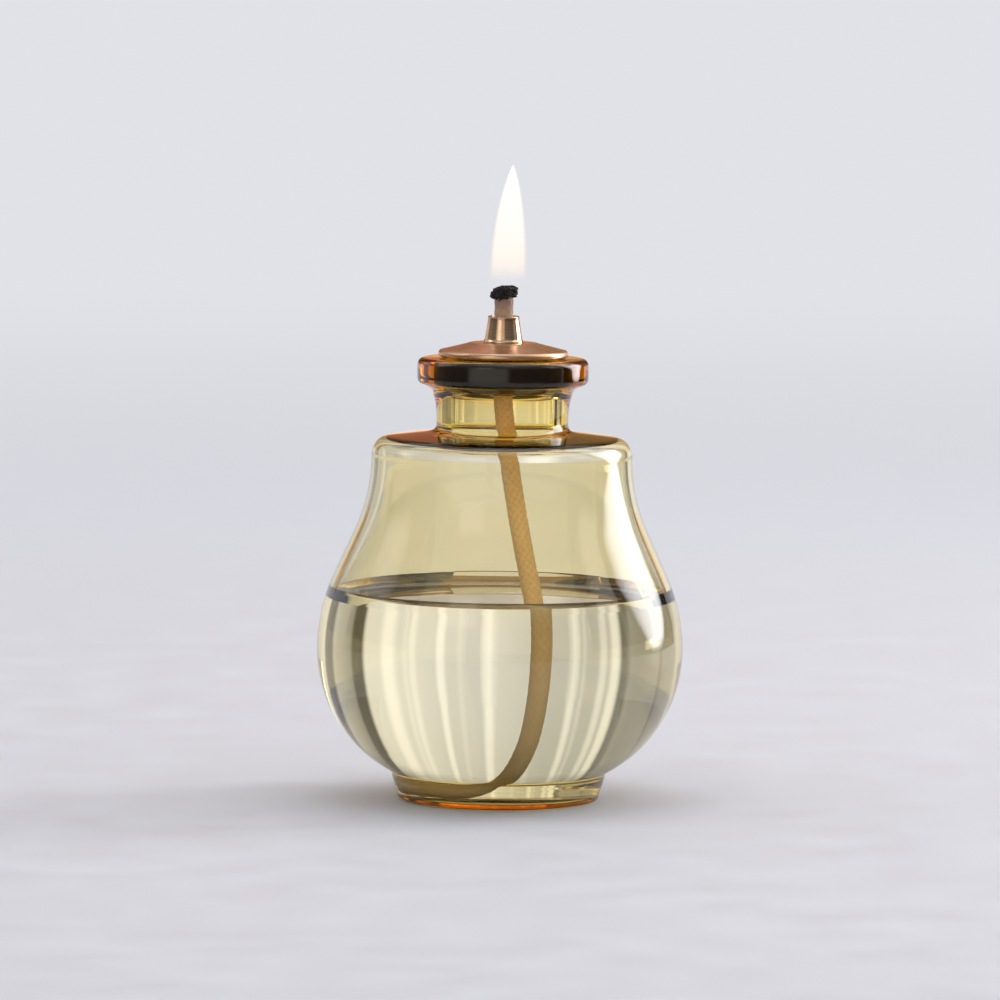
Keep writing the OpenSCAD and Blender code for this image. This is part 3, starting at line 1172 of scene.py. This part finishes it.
def room_in_front(azimuth, height):
    """Dark and pale walls in front, for the brass and the glass to mirror, with a small window
    to the left and pale stretches high up at both ends."""
    low = float(np.interp(azimuth, *zip(*FRONT_WALLS)))
    level = low + (UPPER_WALL - low) * float(np.interp(height, (0.24, 0.32), (0, 1)))
    level += 1.2 * patch(azimuth, 206, 12, 6) * patch(height, 0.36, 0.14, 6)
    ends = patch(azimuth, 101, 11, 4) + patch(azimuth, 277, 15, 4)
    level += 1.5 * ends * float(np.interp(height, (0.2, 0.3), (0, 1)))
    return level, 0.96 * level, 0.9 * level


FILL_LIGHT = (0.9, 0.62, 0.2)


def front_fill(azimuth, height):
    """The studio's own light with a warm glow in its middle, which reaches the wick through
    the glass."""
    level = patch(azimuth, 180, 78, 2)
    level *= float(np.interp(height, (0.05, 0.45, 0.85), (0, 1, 0)))
    return [base + level * extra for base, extra in zip(STUDIO_COLOUR, FILL_LIGHT)]


BROWN_GROUND = (0.2, 0.12, 0.05)


def dark_ground(name, radii, azimuths, height, shader):
    """A dark sheet just above the floor, which the foot and the oil's surface pick up."""
    columns, rows = 90, 12
    points = []
    for radius in spaced(*radii, rows):
        for azimuth in spaced(*azimuths, columns):
            points.append(round_axis(radius, azimuth, height))
    colours = [*BROWN_GROUND, 1] * len(points)
    staged_card(name, points, grid_faces(columns, rows), colours, shader, True, False)


def add_studio():
    """Even pale light, two soft lights and the hidden cards that glass and brass show."""
    world = bpy.data.worlds.new("studio")
    world.use_nodes = True
    background = world.node_tree.nodes["Background"]
    background.inputs["Color"].default_value = (*STUDIO_COLOUR, 1)
    background.inputs["Strength"].default_value = 1
    SCENE.world = world
    SCENE.view_settings.view_transform = "Standard"

    window = softbox("window_right", at=(0.95, 0.42, 0.42), towards=(0, 0, 0.06),
                     size=(0.34, 0.9), power=4)
    window.visible_glossy = False
    softbox("overhead", at=(0.1, 0.1, 1.3), towards=(0, 0, 0.05), size=(0.9, 0.9), power=2)

    shader = card_material()
    draped_card("card_near", 0.11, (0, 0.033), shader)
    draped_card("card_far", 0.5, (0.028, 0.5), shader, dim_above)
    curved_card("card_window", 0.6, (40, 92), (0, 1.1), window_light, shader, mirrored=True)
    curved_card("card_dusk", 0.62, (-38, 38), (0.1, 0.5), warm_dusk, shader, mirrored=True)
    curved_card("card_in_front", 0.6, (92, 300), (0, 0.9), room_in_front, shader, mirrored=True)
    curved_card("card_left", 0.5, (-120, -66), (0.05, 0.5), dark_side, shader, through=True)
    curved_card("card_right", 0.5, (66, 120), (0.05, 0.5), dark_side, shader, through=True)
    curved_card("card_fill", 0.7, (100, 260), (0, 0.9), front_fill, shader, through=True)
    dark_ground("card_ground", (0.0225, 0.072), (-110, 110), 0.2 * MM, shader)
    dark_ground("card_under", (0.001, 0.015), (0, 360), 0.04 * MM, shader)


# ---------------------------------------------------------------- the whole lamp

add_camera()
BRAID = wick_braid()
add_wick_tail(BRAID)
add_wick_top(BRAID)

BOTTLE_OUTLINE = bottle_outline()
BOTTLE_MOUTH = min(p.x for p in BOTTLE_OUTLINE if p.y > SEAL_LOW.z + MM)
add_bottle(BOTTLE_OUTLINE, amber_glass())
add_oil(BOTTLE_OUTLINE, lamp_oil())

SATIN = satin_brass()
add_seal(black_rubber())
add_plate(SATIN)
add_nozzle(polished_brass())
add_tube(SATIN)
add_washer(SATIN)
add_nut(SATIN)
add_char(charred_wick())
add_flame()

add_floor()
add_studio()
